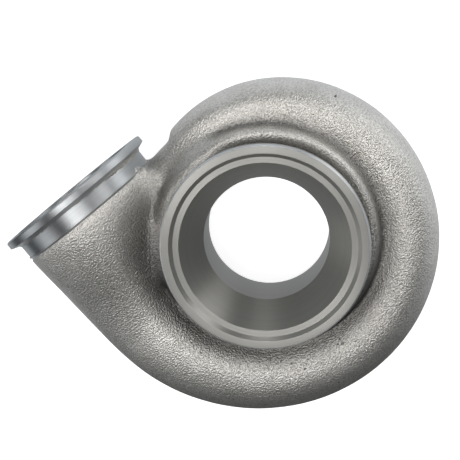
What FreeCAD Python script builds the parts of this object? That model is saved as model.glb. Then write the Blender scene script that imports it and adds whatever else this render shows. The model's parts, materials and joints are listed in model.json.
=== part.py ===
"""Turbine housing of a turbocharger: one steel casting, machined where it seats and clamps.

The frame is the shaft's: Z runs along it, from the bearing housing's seat at Z = 0 to the outlet face.
The inlet duct lies on the -X side and points along +Y. Lengths are millimetres and angles are degrees.
"""

import FreeCAD
import Part

import math
import os

# Levels along the shaft: four are stacked up from the bearing housing's seat, the others run
# down from the outlet face, and the throat fills what is left.
HEIGHT = 76.0
PILOT_DEPTH = 12.5
LIP_LENGTH = 5.0
NOZZLE_HEIGHT = 7.6
SHROUD_ROUND = 7.0
SEAT_DEPTH = 1.8
DIFFUSER_LENGTH = 16.9

# Radii round the shaft.
SEAT_MOUTH_RADIUS = 42.0
SEAT_FLOOR_RADIUS = 40.4
DIFFUSER_MOUTH_RADIUS = 37.7
THROAT_RADIUS = 28.3
NOZZLE_ENTRY_RADIUS = 57.0
HUB_LIP_RADIUS = 36.0
PILOT_RADIUS = 42.0

# Clamp rings: both have a rim with a cone behind it, then a turned land that is sunk into the casting.
CLAMP_ANGLE = 20.0
EDGE_CHAMFER = 0.5
OUTLET_RIM_RADIUS = 46.0
OUTLET_RIM_THICKNESS = 4.0
OUTLET_LAND_RADIUS = 41.8
OUTLET_LAND_LENGTH = 12.0
INLET_RIM_RADIUS = 39.6
INLET_RIM_THICKNESS = 3.4
INLET_LAND_RADIUS = 35.2
INLET_LAND_LENGTH = 6.7
INLET_REGISTER_RADIUS = 32.0
INLET_REGISTER_DEPTH = 1.2
RING_ROOT = 1.0

# Cast body round the shaft: a round shoulder with a groove between it and the outlet ring, and a hub on
# the bearing side with a foot that flares into the scroll.
SHOULDER_RADIUS = 50.6
SHOULDER_ROUND = 2.2
GROOVE_RADIUS = 46.0
GROOVE_DEPTH = 3.0
HUB_RADIUS = 47.0
FOOT_REACH = 8.0
FOOT_ROUND = 5.0

# Flange that the bearing housing is bolted to.
FLANGE_RADIUS = 59.0
FLANGE_THICKNESS = 7.0
FLANGE_ROUND = 2.0
BOLT_COUNT = 8
BOLT_CIRCLE_RADIUS = 53.0
BOLT_HOLE_RADIUS = 3.4

# Inlet duct: its axis runs along Y at X = -INLET_OFFSET.
INLET_OFFSET = 59.7
INLET_FACE = 71.4
INLET_AXIS_HEIGHT = 40.0
INLET_CLAMP_RADIUS = 51.2
DUCT_RADIUS = 35.8
DUCT_STATION_COUNT = 2

# Scroll: a wall round a passage that shrinks as it wraps the shaft. The drops run down from the outlet face.
WALL = 5.4
SCROLL_START_ANGLE = 180.0
TAIL_JOINT_ANGLE = 460.0
TAIL_END_ANGLE = 500.0
PASSAGE_END_ANGLE = 470.0
STEP_ANGLE = 20.0
START_OUTER_RADIUS, TAIL_OUTER_RADIUS = 94.2, 63.9
START_INNER_RADIUS, TAIL_INNER_RADIUS = 47.0, 46.5
START_CREST_RADIUS, TAIL_CREST_RADIUS = 70.0, 55.5
START_DROP, TAIL_DROP = 17.0, 24.0
START_BOTTOM, TAIL_BOTTOM = 5.0, 11.5
START_MIDDLE, TAIL_MIDDLE = 36.0, 32.0
ROUND_POWER = 2.0
START_POWER = 2.1
TAIL_POWER = 2.4
SECTION_POINTS = 16

# Rib between the inlet duct and the scroll's tail: places of its foot, bend and head, measured from the hub.
RIB_RADIUS = 2.2
RIB_ANGLES = 502.0, 484.9, 471.5
FOOT_OUT, BEND_OUT, HEAD_OUT = 1.2, 3.7, 19.5
FOOT_LIFT, BEND_LIFT, HEAD_LIFT = -3.0, 0.8, 0.8

V = FreeCAD.Vector
Z_AXIS = V(0, 0, 1)

clamp_slope = math.tan(math.radians(CLAMP_ANGLE))
outlet_rim_back = HEIGHT - OUTLET_RIM_THICKNESS
outlet_cone_back = outlet_rim_back - (OUTLET_RIM_RADIUS - OUTLET_LAND_RADIUS) * clamp_slope
groove_floor = outlet_cone_back - OUTLET_LAND_LENGTH
inlet_rim_back = INLET_FACE - INLET_RIM_THICKNESS
inlet_cone_back = inlet_rim_back - (INLET_RIM_RADIUS - INLET_LAND_RADIUS) * clamp_slope
inlet_land_end = inlet_cone_back - INLET_LAND_LENGTH
inlet_centre = V(-INLET_OFFSET, 0, INLET_AXIS_HEIGHT)


def mix(a, b, share):
    """The value that lies the given share of the way from a to b."""
    return a + (b - a) * share


def ease(share):
    """A share from 0 to 1 that starts and ends gently."""
    return share * share * (3 - 2 * share)


def steps(first, last, count):
    """Values from first to last, both included, in count equal steps."""
    return [mix(first, last, i / count) for i in range(count + 1)]


def oval(to_space, crest, middle, outer, inner, top, bottom, power):
    """A closed smooth outline round (crest, middle), with its own reach on each of its four sides."""
    points = []
    for i in range(SECTION_POINTS):
        angle = 2 * math.pi * i / SECTION_POINTS
        across = abs(math.cos(angle)) ** (2 / power) * (outer if math.cos(angle) > 0 else -inner)
        up = abs(math.sin(angle)) ** (2 / power) * (top if math.sin(angle) > 0 else -bottom)
        points.append(to_space(crest + across, middle + up))
    curve = Part.BSplineCurve()
    curve.interpolate(Points=points, PeriodicFlag=True, Parameters=list(range(SECTION_POINTS + 1)))
    return Part.Wire([curve.toShape()])


def scroll_share(angle):
    """How far the scroll has shrunk at an angle, from 0 at its start to 1 at the tail's joint."""
    return (angle - SCROLL_START_ANGLE) / (TAIL_JOINT_ANGLE - SCROLL_START_ANGLE)


def scroll_top(angle):
    """Height of the scroll's crest at an angle."""
    return HEIGHT - mix(START_DROP, TAIL_DROP, scroll_share(angle))


def scroll_section(angle, skin):
    """The scroll's outline at an angle, drawn inside the cast surface by the thickness skin."""
    turn = math.radians(angle)
    share = scroll_share(angle)
    crest = mix(START_CREST_RADIUS, TAIL_CREST_RADIUS, share)
    outer_radius = mix(START_OUTER_RADIUS, TAIL_OUTER_RADIUS, share)
    middle = mix(START_MIDDLE, TAIL_MIDDLE, share)
    return oval(
        lambda r, z: V(r * math.cos(turn), r * math.sin(turn), z),
        crest,
        middle,
        outer_radius - skin - crest,
        crest - mix(START_INNER_RADIUS, TAIL_INNER_RADIUS, share) - skin,
        scroll_top(angle) - skin - middle,
        middle - mix(START_BOTTOM, TAIL_BOTTOM, share) - skin,
        mix(START_POWER, TAIL_POWER, share),
    )


def scroll_sections(first, last, skin):
    """The scroll's outlines from one angle to another, about STEP_ANGLE apart."""
    return [scroll_section(angle, skin) for angle in steps(first, last, round((last - first) / STEP_ANGLE))]


def duct_section(y, skin):
    """The duct's outline at y, which turns from the scroll's first section into a circle at the inlet."""
    share = ease(min(1.0, y / inlet_land_end))
    radius = DUCT_RADIUS - skin
    return oval(
        lambda u, z: V(-u, y, z),
        mix(START_CREST_RADIUS, INLET_OFFSET, share),
        mix(START_MIDDLE, INLET_AXIS_HEIGHT, share),
        mix(START_OUTER_RADIUS - skin - START_CREST_RADIUS, radius, share),
        mix(START_CREST_RADIUS - START_INNER_RADIUS - skin, radius, share),
        mix(HEIGHT - START_DROP - skin - START_MIDDLE, radius, share),
        mix(START_MIDDLE - START_BOTTOM - skin, radius, share),
        mix(START_POWER, ROUND_POWER, share),
    )


def duct_and_scroll(skin, last_angle):
    """One smooth tube that comes in at the inlet and wraps the shaft up to last_angle."""
    straight = steps(inlet_land_end, inlet_land_end / DUCT_STATION_COUNT, DUCT_STATION_COUNT - 1)
    sections = [duct_section(INLET_FACE + WALL, skin)]
    sections += [duct_section(y, skin) for y in straight]
    sections += scroll_sections(SCROLL_START_ANGLE, last_angle, skin)
    return Part.makeLoft(sections, True, False)


def tail():
    """The scroll's last stretch, which runs into the side of the inlet duct."""
    return Part.makeLoft(scroll_sections(TAIL_JOINT_ANGLE, TAIL_END_ANGLE, 0), True, False)


def rounded_outline(corners):
    """A closed flat outline through (across, up, round) corners, each rounded by its own radius."""
    points = [V(across, 0, up) for across, up, _ in corners]
    ends = []
    for i, (_, _, radius) in enumerate(corners):
        corner = points[i]
        back = (points[i - 1] - corner).normalize()
        ahead = (points[(i + 1) % len(points)] - corner).normalize()
        if radius:
            half = back.getAngle(ahead) / 2
            reach = radius / math.tan(half)
            middle = corner + (back + ahead).normalize() * (radius / math.sin(half) - radius)
            ends.append((corner + back * reach, middle, corner + ahead * reach))
        else:
            ends.append((corner, None, corner))
    edges = []
    for i, (start, middle, end) in enumerate(ends):
        if middle:
            edges.append(Part.Arc(start, middle, end).toShape())
        edges.append(Part.LineSegment(end, ends[(i + 1) % len(ends)][0]).toShape())
    return Part.Wire(edges)


def turned(corners):
    """A solid turned about the shaft from (radius, height, round) corners."""
    return Part.Face(rounded_outline(corners)).revolve(V(0, 0, 0), Z_AXIS, 360)


def turned_at_inlet(corners):
    """A solid turned about the inlet's axis from (radius, y, round) corners."""
    shape = turned(corners)
    shape.rotate(V(0, 0, 0), V(1, 0, 0), -90)
    shape.translate(inlet_centre)
    return shape


def hub():
    """The cast body round the shaft: bearing flange, hub with its flared foot, and grooved shoulder."""
    core = THROAT_RADIUS - WALL
    shoulder_top = groove_floor + GROOVE_DEPTH
    return turned([
        (core, 0, 0),
        (FLANGE_RADIUS - EDGE_CHAMFER, 0, 0),
        (FLANGE_RADIUS, EDGE_CHAMFER, 0),
        (FLANGE_RADIUS, FLANGE_THICKNESS, FLANGE_ROUND),
        (HUB_RADIUS, FLANGE_THICKNESS, FLANGE_ROUND),
        (HUB_RADIUS, TAIL_BOTTOM, FOOT_ROUND),
        (HUB_RADIUS + FOOT_REACH, TAIL_BOTTOM + FOOT_REACH, 0),
        (SHOULDER_RADIUS, TAIL_MIDDLE, 0),
        (SHOULDER_RADIUS, shoulder_top, SHOULDER_ROUND),
        (GROOVE_RADIUS, shoulder_top, 0),
        (GROOVE_RADIUS, groove_floor, 0),
        (core, groove_floor, 0),
    ])


def chamfered_ring(rim_radius, land_radius, inner_radius, land_end, cone_back, rim_back, face):
    """Corners of a clamp ring's outline: a root in the casting, then land, cone, rim and face."""
    return [
        (inner_radius, land_end - WALL, 0),
        (land_radius - RING_ROOT, land_end - WALL, 0),
        (land_radius - RING_ROOT, land_end, 0),
        (land_radius, land_end, 0),
        (land_radius, cone_back, 0),
        (rim_radius, rim_back, 0),
        (rim_radius, face - EDGE_CHAMFER, 0),
        (rim_radius - EDGE_CHAMFER, face, 0),
        (inner_radius, face, 0),
    ]


def outlet_ring():
    """The ring that the outlet pipe's clamp draws on to the seat."""
    return turned(chamfered_ring(
        OUTLET_RIM_RADIUS, OUTLET_LAND_RADIUS, THROAT_RADIUS - WALL,
        groove_floor, outlet_cone_back, outlet_rim_back, HEIGHT,
    ))


def inlet_ring():
    """The smaller ring at the inlet duct's mouth."""
    return turned_at_inlet(chamfered_ring(
        INLET_RIM_RADIUS, INLET_LAND_RADIUS, DUCT_RADIUS - 2 * WALL,
        inlet_land_end, inlet_cone_back, inlet_rim_back, INLET_FACE,
    ))


def inlet_clearance():
    """Room behind the inlet's rim for a clamp, cut through the scroll's tail and the duct's end."""
    length = INLET_FACE - inlet_land_end + 2 * WALL
    disc = Part.makeCylinder(INLET_CLAMP_RADIUS, length, V(0, inlet_land_end, 0), V(0, 1, 0))
    disc.translate(inlet_centre)
    return disc


def rib_point(angle, out, lift):
    """A point on the rib's middle line, from its distance to the hub and its lift over the scroll's top."""
    turn = math.radians(angle)
    radius = HUB_RADIUS + out
    return V(radius * math.cos(turn), radius * math.sin(turn), scroll_top(angle) + lift)


def rib():
    """A round cast rib along the corner between the duct and the tail, with its foot sunk into the hub."""
    places = zip(RIB_ANGLES, (FOOT_OUT, BEND_OUT, HEAD_OUT), (FOOT_LIFT, BEND_LIFT, HEAD_LIFT))
    foot, bend, head = (rib_point(*place) for place in places)
    path = Part.Wire([Part.Arc(foot, bend, head).toShape()])
    along = path.Edges[0].tangentAt(path.Edges[0].FirstParameter)
    return path.makePipeShell([Part.Wire([Part.makeCircle(RIB_RADIUS, foot, along)])], True, False)


def bore():
    """Everything machined away round the shaft: seat, cone, throat, shroud, nozzle gap and pilot."""
    seat_floor = HEIGHT - SEAT_DEPTH
    cone_end = seat_floor - DIFFUSER_LENGTH
    nozzle_floor = PILOT_DEPTH + LIP_LENGTH
    nozzle_top = nozzle_floor + NOZZLE_HEIGHT
    return turned([
        (0, -WALL, 0),
        (PILOT_RADIUS + EDGE_CHAMFER, -WALL, 0),
        (PILOT_RADIUS + EDGE_CHAMFER, 0, 0),
        (PILOT_RADIUS, EDGE_CHAMFER, 0),
        (PILOT_RADIUS, PILOT_DEPTH, 0),
        (HUB_LIP_RADIUS, PILOT_DEPTH, 0),
        (HUB_LIP_RADIUS, nozzle_floor, 0),
        (NOZZLE_ENTRY_RADIUS, nozzle_floor, 0),
        (NOZZLE_ENTRY_RADIUS, nozzle_top, 0),
        (THROAT_RADIUS, nozzle_top, SHROUD_ROUND),
        (THROAT_RADIUS, cone_end, 0),
        (DIFFUSER_MOUTH_RADIUS, seat_floor, 0),
        (SEAT_FLOOR_RADIUS, seat_floor, 0),
        (SEAT_MOUTH_RADIUS, HEIGHT, 0),
        (SEAT_MOUTH_RADIUS, HEIGHT + WALL, 0),
        (0, HEIGHT + WALL, 0),
    ])


def inlet_register():
    """A shallow step round the inlet's bore."""
    floor = INLET_FACE - INLET_REGISTER_DEPTH
    return turned_at_inlet([
        (0, floor, 0),
        (INLET_REGISTER_RADIUS, floor, 0),
        (INLET_REGISTER_RADIUS, INLET_FACE + WALL, 0),
        (0, INLET_FACE + WALL, 0),
    ])


def bolt_holes():
    """Holes through the flange for the bolts that hold the bearing housing."""
    holes = []
    for i in range(BOLT_COUNT):
        turn = 2 * math.pi * (i + 0.5) / BOLT_COUNT
        place = V(BOLT_CIRCLE_RADIUS * math.cos(turn), BOLT_CIRCLE_RADIUS * math.sin(turn), 0)
        holes.append(Part.makeCylinder(BOLT_HOLE_RADIUS, FLANGE_THICKNESS + EDGE_CHAMFER, place))
    return holes


def turbine_housing():
    """The whole casting with its machined faces, as one solid."""
    cast = duct_and_scroll(0, TAIL_JOINT_ANGLE).fuse([tail(), hub(), rib()])
    cast = cast.cut(inlet_clearance())
    machined = cast.fuse([outlet_ring(), inlet_ring()])
    hollows = [duct_and_scroll(WALL, PASSAGE_END_ANGLE), bore(), inlet_register()]
    finished, = machined.cut(hollows + bolt_holes()).Solids
    return finished


def main():
    os.makedirs("parts", exist_ok=True)
    turbine_housing().exportStep("parts/turbine_housing.step")


if __name__ == "__main__":
    main()
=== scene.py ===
"""Turbine housing of a turbocharger: a blasted steel casting with turned ends and bearing side."""

import json
import math

import bmesh
import bpy
import numpy as np
from mathutils import Matrix, Vector, noise


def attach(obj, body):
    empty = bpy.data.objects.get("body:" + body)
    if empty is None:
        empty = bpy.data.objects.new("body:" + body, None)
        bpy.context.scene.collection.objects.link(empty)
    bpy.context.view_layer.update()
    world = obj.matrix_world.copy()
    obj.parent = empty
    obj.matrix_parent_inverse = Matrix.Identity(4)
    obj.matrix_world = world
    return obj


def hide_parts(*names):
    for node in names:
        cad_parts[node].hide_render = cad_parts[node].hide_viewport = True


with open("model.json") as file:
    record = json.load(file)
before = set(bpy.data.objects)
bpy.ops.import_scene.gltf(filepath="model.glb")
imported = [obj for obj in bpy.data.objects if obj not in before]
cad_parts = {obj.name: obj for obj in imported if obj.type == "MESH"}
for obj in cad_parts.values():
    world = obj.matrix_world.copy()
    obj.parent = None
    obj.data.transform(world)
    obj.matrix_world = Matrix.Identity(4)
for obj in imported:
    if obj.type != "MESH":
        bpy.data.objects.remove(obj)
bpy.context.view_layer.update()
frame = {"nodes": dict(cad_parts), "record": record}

# The places that a lathe has cut, as closed outlines of (radius, distance along the axis, round).
# The housing is poured in one piece, and then turned where gas pipes, clamps, the wheel and the
# bearing housing meet it. Each outline runs along the cut and returns a little way inside the metal.
mm = 0.001
mounts = {mount["name"]: mount for mount in frame["record"]["mounts"]}


def size(mount, name="r_mm"):
    """A size of the mount, in metres."""
    return mounts[mount]["dims"][name] * mm


outlet_face = mounts["outlet_face"]["pos_m"][2]
outlet_rim_radius = size("outlet_rim")
outlet_rim_back = outlet_face - 4.0 * mm
outlet_land_radius = 41.8 * mm
clamp_slope = math.tan(math.radians(20))
outlet_cone_back = outlet_rim_back - (outlet_rim_radius - outlet_land_radius) * clamp_slope
groove_floor = outlet_cone_back - 12.0 * mm
mouth_radius = 42.0 * mm
seat_floor = outlet_face - 1.8 * mm
seat_outer_radius = 40.4 * mm
seat_inner_radius = 37.7 * mm
throat_radius = size("throat")
throat_top = seat_floor - 16.9 * mm
throat_bottom = throat_top - size("throat", "length_mm")
shroud_round = 7.0 * mm
nozzle_top = throat_bottom - shroud_round
nozzle_floor = nozzle_top - 7.6 * mm
nozzle_edge = 49.0 * mm
lip_radius = size("nozzle_lip")
pilot_radius = size("bearing_pilot")
pilot_depth = 12.5 * mm
pilot_bevel = 0.5 * mm
flange_face_radius = 58.4 * mm
flange_thickness = 7.0 * mm
edge_break = 0.35 * mm
groove_round = 0.6 * mm
bevel_height = 1.3 * mm
bevel_width = 0.7 * mm
cut_depth = 1.2 * mm

outlet_cut = [
    (outlet_land_radius, groove_floor - 2 * cut_depth, 0),
    (outlet_land_radius, outlet_cone_back, groove_round),
    (outlet_rim_radius, outlet_rim_back, edge_break),
    (outlet_rim_radius, outlet_face - bevel_height, edge_break),
    (outlet_rim_radius - bevel_width, outlet_face, edge_break),
    (mouth_radius, outlet_face, edge_break),
    (seat_outer_radius, seat_floor, edge_break),
    (seat_inner_radius, seat_floor, edge_break),
    (throat_radius, throat_top, 2 * edge_break),
    (throat_radius, nozzle_top, shroud_round),
    (nozzle_edge, nozzle_top, 0),
    (nozzle_edge, nozzle_top + cut_depth, 0),
    (throat_radius + 3 * cut_depth, nozzle_top + 3 * cut_depth, 0),
    (throat_radius + 3 * cut_depth, throat_top, 0),
    (outlet_land_radius - cut_depth, seat_floor - 6 * cut_depth, 0),
    (outlet_land_radius - cut_depth, groove_floor - 2 * cut_depth, 0),
]

bearing_cut = [
    (nozzle_edge, nozzle_floor, 0),
    (lip_radius, nozzle_floor, edge_break),
    (lip_radius, pilot_depth, edge_break),
    (pilot_radius, pilot_depth, edge_break),
    (pilot_radius, pilot_bevel, 0),
    (pilot_radius + pilot_bevel, 0, 0),
    (flange_face_radius, 0, 0),
    (flange_face_radius - cut_depth, cut_depth, 0),
    (flange_face_radius - cut_depth, flange_thickness - cut_depth, 0),
    (pilot_radius + cut_depth, flange_thickness - cut_depth, 0),
    (pilot_radius + cut_depth, pilot_depth + cut_depth, 0),
    (nozzle_edge, nozzle_floor - cut_depth, 0),
]

inlet_axis = Vector((mounts["inlet_rim"]["pos_m"][0], 0, mounts["inlet_rim"]["pos_m"][2]))
inlet_face = mounts["inlet_face"]["pos_m"][1]
rim_allowance = 0.03 * mm
inlet_rim_radius = size("inlet_rim") - rim_allowance
inlet_rim_back = inlet_face - 3.4 * mm
inlet_land_radius = 35.2 * mm
inlet_cone_back = inlet_rim_back - (inlet_rim_radius - inlet_land_radius) * clamp_slope
inlet_land_end = inlet_cone_back - 6.7 * mm
inlet_bevel = 0.6 * mm
inlet_bore_radius = 30.4 * mm
register_floor = inlet_face - size("inlet_register", "length_mm")
bore_end = register_floor - 5.0 * mm
bore_slant = 1.0 * mm
duct_radius = 35.8 * mm
skin_edge = 0.3 * mm

inlet_cut = [
    (duct_radius - cut_depth, inlet_land_end - cut_depth - skin_edge, 0),
    (duct_radius, inlet_land_end - skin_edge, 0),
    (duct_radius, inlet_land_end, 0),
    (inlet_land_radius, inlet_land_end, 0),
    (inlet_land_radius, inlet_cone_back, groove_round),
    (inlet_rim_radius, inlet_rim_back, edge_break),
    (inlet_rim_radius, inlet_face - inlet_bevel, edge_break),
    (inlet_rim_radius - inlet_bevel, inlet_face, edge_break),
    (size("inlet_register"), inlet_face, edge_break),
    (size("inlet_register"), register_floor, 0),
    (inlet_bore_radius, register_floor, edge_break),
    (inlet_bore_radius, bore_end, 0),
    (inlet_land_radius - cut_depth, bore_end - bore_slant, 0),
    (inlet_land_radius - cut_depth, inlet_land_end - cut_depth - skin_edge, 0),
]


def rounded(corners, arc_steps=5, wide_round=2 * mm):
    """The outline's points, with each corner's round drawn as an arc, in more steps if it is wide."""
    points = []
    for i, (x, y, radius) in enumerate(corners):
        corner = np.array((x, y))
        back = np.array(corners[i - 1][:2]) - corner
        ahead = np.array(corners[(i + 1) % len(corners)][:2]) - corner
        if not radius:
            points.append(corner)
            continue
        back, ahead = back / np.linalg.norm(back), ahead / np.linalg.norm(ahead)
        half = math.acos(np.clip(back @ ahead, -1, 1)) / 2
        middle = (back + ahead) / np.linalg.norm(back + ahead)
        centre = corner + middle * radius / math.sin(half)
        start, end = corner + back * radius / math.tan(half), corner + ahead * radius / math.tan(half)
        steps = arc_steps * (3 if radius > wide_round else 1)
        for k in range(steps + 1):
            on_chord = start + (end - start) * k / steps - centre
            points.append(centre + on_chord * radius / np.linalg.norm(on_chord))
    return np.array(points)


# The casting: heat-resistant steel poured in a sand mould round a sand core, cut free and blasted clean.
# It keeps the mould's grain, and soft corners run wherever one form meets another.
# Its surface comes from the solid, remeshed finely enough to round those corners and carry the grain.
skin_step = 1.42 * mm
corner_softening = 5
trough_softening = 14
merge_softening = 50
wide_softening = 90
under_cut = 0.8 * mm
under_cut_fade = (1.28 * mm, 0.48 * mm)


def distance_to(outline, points):
    """How far each (radius, along) point lies from the outline."""
    best = np.full(len(points), np.inf)
    for start, end in zip(outline, np.roll(outline, -1, axis=0)):
        along = end - start
        share = np.clip((points - start) @ along / max(along @ along, 1e-12), 0, 1)
        best = np.minimum(best, np.linalg.norm(points - start - share[:, None] * along, axis=1))
    return best


def finished_mesh(carrier):
    """The object's mesh with its modifiers carried out."""
    bpy.context.view_layer.update()
    return bpy.data.meshes.new_from_object(carrier.evaluated_get(bpy.context.evaluated_depsgraph_get()))


def new_piece(name, mesh):
    """A new object of the scene with this mesh."""
    piece = bpy.data.objects.new(name, mesh)
    bpy.context.scene.collection.objects.link(piece)
    return piece


blank = new_piece("casting_blank", frame["nodes"]["turbine_housing"].data.copy())
remesh = blank.modifiers.new("remesh", "REMESH")
remesh.mode = "VOXEL"
remesh.voxel_size = skin_step
skin_mesh = finished_mesh(blank)
bpy.data.objects.remove(blank)

co = np.empty(len(skin_mesh.vertices) * 3)
skin_mesh.vertices.foreach_get("co", co)
co = co.reshape(-1, 3)
edges = np.empty(len(skin_mesh.edges) * 2, np.int64)
skin_mesh.edges.foreach_get("vertices", edges)
ends = np.concatenate((edges[0::2], edges[1::2]))
others = np.concatenate((edges[1::2], edges[0::2]))
neighbours = np.bincount(ends, minlength=len(co))


def softened(values):
    """Each point moved half-way to the middle of its neighbours."""
    middle = np.stack([np.bincount(ends, values[others, k], len(co)) for k in range(3)], 1)
    return (values + middle / neighbours[:, None]) / 2


for _ in range(corner_softening):
    co = softened(co)


def ramp(values, start, end):
    """How far each value has come on the way from start to end, from 0 to 1."""
    return np.clip((values - start) / (end - start), 0, 1)


def softened_where(points, share, times):
    """The points softened a number of times, each by its own share."""
    for _ in range(times):
        points = points + (softened(points) - points) * share[:, None]
    return points


# The pattern maker's fillets are widest in the trough round the outlet and where the tail meets the duct.
# Each share tells how far a point belongs to such a place.
land_foot = (42.2 * mm, 44.6 * mm)
trough_brink = (63 * mm, 56 * mm)
upper_side = (25 * mm, 32 * mm)
rib_x, rib_y = -22 * mm, 54 * mm
rib_reach = (20 * mm, 12 * mm)
from_shaft = np.hypot(co[:, 0], co[:, 1])
from_rib = np.hypot(co[:, 0] - rib_x, co[:, 1] - rib_y)
high = ramp(co[:, 2], *upper_side)
trough_share = ramp(from_shaft, *land_foot) * ramp(from_shaft, *trough_brink) * high
rib_share = ramp(from_rib, *rib_reach) * ramp(from_shaft, *land_foot) * high
co = softened_where(co, np.maximum(0.9 * trough_share, 0.5 * rib_share), trough_softening)

# Beside the rib the trough runs out, and the tail comes straight up to the turned land.
# Next to it the flank of the duct rounds over towards the outlet.
merge_turn, merge_reach = 98, (22, 8)
flank_turn, flank_reach = 143, (26, 14)
flank_foot = (46 * mm, 49 * mm)
flank_brink = (66 * mm, 60 * mm)
round_shaft = np.degrees(np.arctan2(co[:, 1], co[:, 0]))
merge_share = trough_share * ramp(np.abs(round_shaft - merge_turn), *merge_reach)
flank_share = ramp(from_shaft, *flank_foot) * ramp(from_shaft, *flank_brink) * high
flank_share = flank_share * ramp(np.abs(round_shaft - flank_turn), *flank_reach)
co = softened_where(co, np.maximum(merge_share, flank_share), merge_softening)
skin_mesh.vertices.foreach_set("co", co.ravel())
skin_mesh.update()
normals = np.empty(len(co) * 3)
skin_mesh.vertices.foreach_get("normal", normals)
normals = normals.reshape(-1, 3)

# Painted shade: the hollows, and the trough beside the outlet on the duct's side where the ring's shadow
# falls, get a darker skin.
# How far each point lies below its wide surroundings is kept with the mesh, and so is how close it is to the
# outlet on the duct's side.
deep_hollow = 1.6 * mm
crevice_reach = (66 * mm, 58 * mm)
outlet_reach = (66 * mm, 52 * mm)
outlet_side = (20 * mm, 30 * mm)
duct_turn = math.radians(222)
wide = co
for _ in range(wide_softening):
    wide = softened(wide)
hollow_depth = ((wide - co) * normals).sum(1)
about_shaft = np.stack((np.hypot(co[:, 0], co[:, 1]), co[:, 2]), 1)
from_shaft, height = about_shaft.T
crevice = 0.75 * ramp(hollow_depth, 0, deep_hollow) * ramp(from_shaft, *crevice_reach)
crevice = crevice * (1 - 0.8 * merge_share)
duct_side = np.clip(0.72 + 0.8 * np.cos(np.arctan2(co[:, 1], co[:, 0]) - duct_turn), 0, 1)
beside_outlet = 0.95 * ramp(from_shaft, *outlet_reach) * ramp(height, *outlet_side) * duct_side
shelter = skin_mesh.attributes.new("shelter", "FLOAT", "POINT")
shelter.data.foreach_set("value", np.maximum(crevice, beside_outlet))

# The skin goes under the turned pieces wherever the lathe has cut, and carries grain and a slight swell
# everywhere else.
grain_size, grain_height = 2.2 * mm, 0.022
swell_size, swell_height = 16 * mm, 0.10
to_inlet = co - np.array(inlet_axis)
about_inlet = np.stack((np.hypot(to_inlet[:, 0], to_inlet[:, 2]), co[:, 1]), 1)
from_cuts = np.minimum.reduce([
    distance_to(rounded(outlet_cut), about_shaft),
    distance_to(rounded(bearing_cut), about_shaft),
    distance_to(rounded(inlet_cut), about_inlet),
])
cut_share = ramp(from_cuts, *under_cut_fade)
grain = np.array([
    grain_height * noise.fractal(Vector(p) / grain_size, 1.0, 2.0, 3)
    + swell_height * noise.noise(Vector(p) / swell_size)
    for p in co
]) * mm
co += normals * (grain * (1 - cut_share) - under_cut * cut_share)[:, None]
skin_mesh.vertices.foreach_set("co", co.ravel())
skin_mesh.update()
skin_mesh.shade_smooth()
casting = new_piece("casting", skin_mesh)
skin_mesh.materials.clear()


def linear(code, alpha=1.0):
    """A colour written as sRGB hex, turned to linear."""
    parts = [int(code[i:i + 2], 16) / 255 for i in (1, 3, 5)]
    return (*(c / 12.92 if c <= 0.04045 else ((c + 0.055) / 1.055) ** 2.4 for c in parts), alpha)


def node(tree, kind, inputs=None, **settings):
    """A new node in the tree, with its settings and with each input linked or set."""
    made = tree.nodes.new(kind)
    for name, value in settings.items():
        setattr(made, name, value)
    for name, value in (inputs or {}).items():
        if isinstance(value, bpy.types.NodeSocket):
            tree.links.new(value, made.inputs[name])
        else:
            made.inputs[name].default_value = value
    return made


def new_material(name):
    """A material with no nodes yet, and its tree."""
    material = bpy.data.materials.new(name)
    material.use_nodes = True
    material.node_tree.nodes.clear()
    return material, material.node_tree


# Sand-cast steel, shot-blasted: a matt grey metal with the mould's fine grain and a scatter of small
# dark pits. The eye gets a soft half-gloss, broken by the grain, that darkens in the pits.
cast_steel, tree = new_material("sand_cast_steel")
place = node(tree, "ShaderNodeTexCoord").outputs["Object"]
sand_grain = 0.37 * mm
mottle_size = 11 * mm
pit_spacing = 3.4 * mm
grit = node(tree, "ShaderNodeTexNoise", {
    "Vector": place, "Scale": 1 / (2 * sand_grain), "Detail": 1.0, "Roughness": 0.5,
})
mottle = node(tree, "ShaderNodeTexNoise", {"Vector": place, "Scale": 1 / mottle_size, "Detail": 3.0})
pits = node(tree, "ShaderNodeTexVoronoi", {"Vector": place, "Scale": 1 / pit_spacing, "Randomness": 1.0})
pit_size = node(tree, "ShaderNodeMapRange", {
    "Value": pits.outputs["Color"], "From Min": 0.7, "From Max": 1.0, "To Min": 0.0, "To Max": 0.13,
})
in_pit = node(tree, "ShaderNodeMath", {
    0: pits.outputs["Distance"], 1: pit_size.outputs[0],
}, operation="LESS_THAN")

# A few larger gas holes lie in the lower half of the scroll, and one lies near its top: their places in mm
# and their reach.
gas_holes = (
    (-3.7, -60.4, 1.0), (-3.6, -58.1, 0.8), (-5.6, -59.4, 0.6), (-24.8, -59.4, 0.8), (-22.9, -57.8, 0.6),
    (-35.1, -46.7, 0.7), (-31.5, -49.9, 0.7), (-28.3, -53.6, 0.6), (62.7, 30.1, 0.7),
)
hole_size = 1.4 * mm
torn_size = 0.7 * mm
seen_along = node(tree, "ShaderNodeSeparateXYZ", {"Vector": place})
flat = node(tree, "ShaderNodeCombineXYZ", {"X": seen_along.outputs["X"], "Y": seen_along.outputs["Y"]})
ragged = node(tree, "ShaderNodeTexNoise", {"Vector": place, "Scale": 1 / torn_size, "Detail": 1.0})
for x, y, reach in gas_holes:
    centre = (x * mm, y * mm, 0)
    away = node(tree, "ShaderNodeVectorMath", {0: flat.outputs[0], 1: centre}, operation="DISTANCE")
    hole_radius = node(tree, "ShaderNodeMath", {
        0: ragged.outputs["Fac"], 1: hole_size * reach,
    }, operation="MULTIPLY")
    hole = node(tree, "ShaderNodeMath", {
        0: away.outputs["Value"], 1: hole_radius.outputs[0],
    }, operation="LESS_THAN")
    in_pit = node(tree, "ShaderNodeMath", {0: in_pit.outputs[0], 1: hole.outputs[0]}, operation="MAXIMUM")
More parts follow.
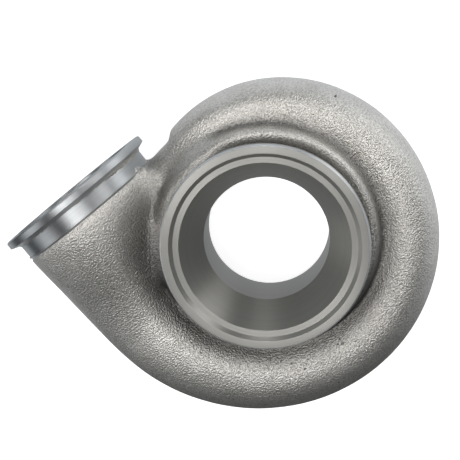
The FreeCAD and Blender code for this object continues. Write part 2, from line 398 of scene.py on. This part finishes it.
tone = node(tree, "ShaderNodeMapRange", {"Value": mottle.outputs["Fac"], "From Min": 0.3, "From Max": 0.7})
clouded = node(tree, "ShaderNodeMix", {
    "Factor": tone.outputs[0], 6: linear("#cdcac4"), 7: linear("#d9d6d1"),
}, data_type="RGBA")
hollow = node(tree, "ShaderNodeMapRange", {
    "Value": grit.outputs["Fac"], "From Min": 0.32, "From Max": 0.6, "To Min": 0.72, "To Max": 1.06,
})
# Painted shade: the shade attribute darkens the colour in the hollows and in the trough beside the outlet.
painted_shade_attribute = node(tree, "ShaderNodeAttribute", attribute_name="shelter")
shade_darkening = node(tree, "ShaderNodeMapRange", {
    "Value": painted_shade_attribute.outputs["Fac"], "To Min": 1.0, "To Max": 0.18,
})
grain_and_shade = node(tree, "ShaderNodeMath", {0: hollow.outputs[0], 1: shade_darkening.outputs[0]}, operation="MULTIPLY")
speckled = node(tree, "ShaderNodeVectorMath", {
    0: clouded.outputs[2], 3: grain_and_shade.outputs[0],
}, operation="SCALE")
pitted = node(tree, "ShaderNodeMix", {
    "Factor": in_pit.outputs[0], 6: speckled.outputs[0], 7: linear("#716e69"),
}, data_type="RGBA")
pit_relief = node(tree, "ShaderNodeMath", {0: in_pit.outputs[0], 1: -0.6}, operation="MULTIPLY")
relief = node(tree, "ShaderNodeMath", {0: grit.outputs["Fac"], 1: pit_relief.outputs[0]}, operation="ADD")
grain_bump = node(tree, "ShaderNodeBump", {
    "Height": relief.outputs[0], "Distance": 0.42 * mm, "Strength": 1.0,
})
shader = node(tree, "ShaderNodeBsdfPrincipled", {
    "Base Color": pitted.outputs[2], "Metallic": 1.0, "Roughness": 0.48, "Normal": grain_bump.outputs[0],
})
node(tree, "ShaderNodeOutputMaterial", {"Surface": shader.outputs[0]})
skin_mesh.materials.append(cast_steel)

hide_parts("turbine_housing")
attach(casting, "root")


# The outlet end, turned in one setting with the bore: clamp rim, land, seat, cone, throat and shroud.
# Fine tool marks run round every face, so each one stretches a light into streaks across them.
turn_count = 360


def turned(name, corners):
    """A closed ring swept round the Z axis from a rounded outline."""
    outline = rounded(corners)
    angles = np.linspace(0, 2 * math.pi, turn_count, endpoint=False)
    points = np.stack([
        np.outer(np.cos(angles), outline[:, 0]),
        np.outer(np.sin(angles), outline[:, 0]),
        np.outer(np.ones(turn_count), outline[:, 1]),
    ], 2).reshape(-1, 3)
    count = len(outline)
    here = np.arange(turn_count * count)
    turn, place = here // count, here % count
    step, ahead = (turn + 1) % turn_count, (place + 1) % count
    quads = np.stack((
        turn * count + place, step * count + place, step * count + ahead, turn * count + ahead,
    ), 1)
    mesh = bpy.data.meshes.new(name)
    mesh.from_pydata(points.tolist(), [], quads.tolist())
    work = bmesh.new()
    work.from_mesh(mesh)
    bmesh.ops.recalc_face_normals(work, faces=work.faces)
    work.to_mesh(mesh)
    work.free()
    mesh.shade_smooth()
    mesh.set_sharp_from_angle(angle=math.radians(25))
    return new_piece(name, mesh)


# Turned steel: bright bare metal with fine concentric tool marks, one to each turn of the lathe.
tool_feed = 0.5 * mm


def turned_steel(name, colour, roughness):
    """Bare steel whose tool marks run round the Z axis and draw each light out across them."""
    material, tree = new_material(name)
    place = node(tree, "ShaderNodeTexCoord").outputs["Object"]
    apart = node(tree, "ShaderNodeSeparateXYZ", {"Vector": place})
    flat = node(tree, "ShaderNodeCombineXYZ", {"X": apart.outputs["X"], "Y": apart.outputs["Y"]})
    radius = node(tree, "ShaderNodeVectorMath", {0: flat.outputs[0]}, operation="LENGTH")
    ring_place = node(tree, "ShaderNodeCombineXYZ", {"X": radius.outputs["Value"], "Z": apart.outputs["Z"]})
    marks = node(tree, "ShaderNodeTexNoise", {
        "Vector": ring_place.outputs[0], "Scale": 1 / tool_feed, "Detail": 2.0, "Roughness": 0.7,
    })
    tint = node(tree, "ShaderNodeMapRange", {"Value": marks.outputs["Fac"], "To Min": 0.82, "To Max": 1.12})
    bare = linear(colour)[:3]
    shade = node(tree, "ShaderNodeVectorMath", {0: bare, 3: tint.outputs[0]}, operation="SCALE")
    bump = node(tree, "ShaderNodeBump", {
        "Height": marks.outputs["Fac"], "Distance": 0.02 * mm, "Strength": 0.5,
    })
    along = node(tree, "ShaderNodeTangent", direction_type="RADIAL", axis="Z")
    shader = node(tree, "ShaderNodeBsdfPrincipled", {
        "Base Color": shade.outputs[0], "Metallic": 1.0, "Roughness": roughness, "Anisotropic": 0.85,
        "Anisotropic Rotation": 0.25, "Normal": bump.outputs[0], "Tangent": along.outputs[0],
    })
    node(tree, "ShaderNodeOutputMaterial", {"Surface": shader.outputs[0]})
    return material


# Painted highlight: the bevel of the rim gets a lighter copy of the turned steel, standing in for the bright
# line along its edge.
bevel_margin = 0.1 * mm
outlet = turned("turned_outlet", outlet_cut)
outlet.data.materials.append(turned_steel("turned_steel", "#92918d", 0.42))
outlet.data.materials.append(turned_steel("fresh_turned_steel", "#bfc1c2", 0.44))
for face in outlet.data.polygons:
    at_rim = face.center.xy.length > outlet_rim_radius - bevel_width - bevel_margin
    near_face = face.center.z > outlet_face - bevel_height - bevel_margin
    face.material_index = int(at_rim and near_face)
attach(outlet, "root")


# The inlet end, turned in a second setting about the duct's own axis: rim, groove, land, face and register.
# The exhaust pipe seats in the register, and its clamp closes on the slanted back of the rim.
inlet = turned("turned_inlet", inlet_cut)
# The inlet end takes the same lighter copy of the turned steel.
inlet.data.materials.append(outlet.data.materials[1])
inlet.rotation_euler = (-math.pi / 2, 0, 0)
inlet.location = inlet_axis
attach(inlet, "root")


# The bearing side, turned in the third setting: flange face, pilot, ledge and the lip of the nozzle.
# Eight plain holes are drilled through its flange for the bolts of the bearing housing.
bearing_side = turned("turned_bearing_side", bearing_cut)
bearing_side.data.materials.append(outlet.data.materials[0])
bolts = mounts["flange_bolts"]["dims"]
hole_radius = bolts["hole_r_mm"] * mm
hole_steps = 40
drills = bmesh.new()
for i in range(bolts["count"]):
    turn = 2 * math.pi * (i + 0.5) / bolts["count"]
    centre = Vector((math.cos(turn), math.sin(turn), 0)) * bolts["pcd_mm"] / 2 * mm
    bmesh.ops.create_cone(
        drills, cap_ends=True, segments=hole_steps, radius1=hole_radius, radius2=hole_radius,
        depth=4 * flange_thickness, matrix=Matrix.Translation(centre),
    )
drill_mesh = bpy.data.meshes.new("drills")
drills.to_mesh(drill_mesh)
drills.free()
drill = new_piece("drills", drill_mesh)
drilling = bearing_side.modifiers.new("drilling", "BOOLEAN")
drilling.object = drill
drilled = finished_mesh(bearing_side)
bearing_side.modifiers.clear()
bearing_side.data = drilled
bpy.data.objects.remove(drill)
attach(bearing_side, "root")


# The floor: a plain white sheet that keeps a faint shadow.
# Bright metal mirrors it as a glow painted into the sheet for reflected rays only, a painted reflection:
# pale on the side of the pale walls, under the bore and beside the inlet, and dim on the other side.
camera_right = Vector((0.77286, -0.62987, -0.07711))
camera_up = Vector((0.59875, 0.76408, -0.24016))
camera_back = Vector((0.21019, 0.13944, 0.96767))


def across_picture(turn):
    """The way across the picture at an angle in degrees, counted from its right side."""
    turn = math.radians(turn)
    return camera_right * math.cos(turn) + camera_up * math.sin(turn)


pale_side = across_picture(68)
inlet_place = (-0.15, 0.05, 0)
bpy.ops.mesh.primitive_plane_add(size=6)
floor = bpy.context.object
floor.name = "floor"
floor_paint, tree = new_material("white_sheet")
ray = node(tree, "ShaderNodeLightPath")
glow = node(tree, "ShaderNodeMath", {0: ray.outputs["Is Camera Ray"], 1: 0.85}, operation="MULTIPLY")
sheet = node(tree, "ShaderNodeBsdfPrincipled", {
    "Base Color": linear("#e8e8e8"), "Roughness": 0.9, "Emission Color": (1, 1, 1, 1),
    "Emission Strength": glow.outputs[0],
})
place = node(tree, "ShaderNodeTexCoord").outputs["Object"]
toward = node(tree, "ShaderNodeVectorMath", {0: place, 1: pale_side}, operation="DOT_PRODUCT")
table_glow = node(tree, "ShaderNodeMapRange", {
    "Value": toward.outputs["Value"], "From Min": -0.06, "From Max": 0.07, "To Min": 0.08, "To Max": 1.0,
})
bore = node(tree, "ShaderNodeVectorMath", {0: place}, operation="LENGTH")
bore_glow = node(tree, "ShaderNodeMapRange", {
    "Value": bore.outputs["Value"], "From Min": 0.045, "From Max": 0.055, "To Min": 1.0, "To Max": 0.0,
})
by_inlet = node(tree, "ShaderNodeVectorMath", {0: place, 1: inlet_place}, operation="DISTANCE")
inlet_glow = node(tree, "ShaderNodeMapRange", {
    "Value": by_inlet.outputs["Value"], "From Min": 0.04, "From Max": 0.1, "To Min": 0.6, "To Max": 0.0,
})
table_light = table_glow
for spot in (inlet_glow, bore_glow):
    table_light = node(tree, "ShaderNodeMath", {
        0: table_light.outputs[0], 1: spot.outputs[0],
    }, operation="MAXIMUM")
mirrored = node(tree, "ShaderNodeEmission", {"Color": linear("#eef3f8"), "Strength": table_light.outputs[0]})
both = node(tree, "ShaderNodeMixShader", {
    0: ray.outputs["Is Glossy Ray"], 1: sheet.outputs[0], 2: mirrored.outputs[0],
})
node(tree, "ShaderNodeOutputMaterial", {"Surface": both.outputs[0]})
floor.data.materials.append(floor_paint)


# The light: a dim room whose walls are pale towards the picture's top and a little beside the inlet, four
# soft lamps round the camera and two low ones. Level surfaces and round crests shine, and steep walls are
# dark.
middle = Vector((0, 0, 0.05))
lamp_distance = 0.85

world = bpy.data.worlds.new("room")
bpy.context.scene.world = world
world.use_nodes = True
tree = world.node_tree
tree.nodes.clear()
way = node(tree, "ShaderNodeTexCoord").outputs["Generated"]
toward = node(tree, "ShaderNodeVectorMath", {0: way, 1: pale_side}, operation="DOT_PRODUCT")
side = node(tree, "ShaderNodeMapRange", {
    "Value": toward.outputs["Value"], "From Min": -0.5, "From Max": 0.35, "To Min": 0.08, "To Max": 0.8,
})
rise = node(tree, "ShaderNodeVectorMath", {0: way, 1: camera_back}, operation="DOT_PRODUCT")
low = node(tree, "ShaderNodeMapRange", {
    "Value": rise.outputs["Value"], "From Min": 0.2, "From Max": 0.65, "To Min": 1.0, "To Max": 0.0,
})
inlet_side = across_picture(205)
toward = node(tree, "ShaderNodeVectorMath", {0: way, 1: inlet_side}, operation="DOT_PRODUCT")
second = node(tree, "ShaderNodeMapRange", {
    "Value": toward.outputs["Value"], "From Min": 0.6, "From Max": 0.95, "To Min": 0.0, "To Max": 0.45,
})
sides = node(tree, "ShaderNodeMath", {0: side.outputs[0], 1: second.outputs[0]}, operation="MAXIMUM")
wall_light = node(tree, "ShaderNodeMath", {0: sides.outputs[0], 1: low.outputs[0]}, operation="MULTIPLY")
room_light = node(tree, "ShaderNodeMath", {0: wall_light.outputs[0], 1: 0.025}, operation="ADD")
room = node(tree, "ShaderNodeBackground", {"Color": linear("#eef3f8"), "Strength": room_light.outputs[0]})
node(tree, "ShaderNodeOutputWorld", {"Surface": room.outputs[0]})


def soft_lamp(name, turn, rise, width, watts):
    """A round soft lamp at an angle round the picture, as across_picture counts it, and a rise over it."""
    rise = math.radians(rise)
    way = across_picture(turn) * math.cos(rise) + camera_back * math.sin(rise)
    lamp = bpy.data.lights.new(name, "AREA")
    lamp.shape = "DISK"
    lamp.size = width
    lamp.energy = watts
    carrier = bpy.data.objects.new(name, lamp)
    carrier.location = middle + way * lamp_distance
    carrier.rotation_euler = (-way).to_track_quat("-Z", "Y").to_euler()
    bpy.context.scene.collection.objects.link(carrier)


soft_lamp("key_lamp", 250, 74, 0.5, 2.35)
soft_lamp("left_lamp", 207, 61, 0.3, 1.3)
soft_lamp("right_lamp", 27, 53, 0.35, 1.2)
soft_lamp("top_lamp", 100, 60, 0.2, 1.0)
soft_lamp("low_left_lamp", 205, 15, 0.5, 0.8)
soft_lamp("low_right_lamp", 40, 22, 0.5, 1.2)


# The camera stands over the outlet, turned so that the inlet points to the upper left.
camera_place = (0.09349, 0.08217, 0.53531)
lens = bpy.data.cameras.new("camera")
lens.lens = 86.09
lens.sensor_width = 36
lens.clip_start = 0.01
camera = bpy.data.objects.new("camera", lens)
turn = Matrix((camera_right, camera_up, camera_back)).transposed().to_4x4()
camera.matrix_world = Matrix.Translation(camera_place) @ turn
bpy.context.scene.collection.objects.link(camera)
bpy.context.scene.camera = camera

bpy.context.scene.view_settings.view_transform = "Standard"
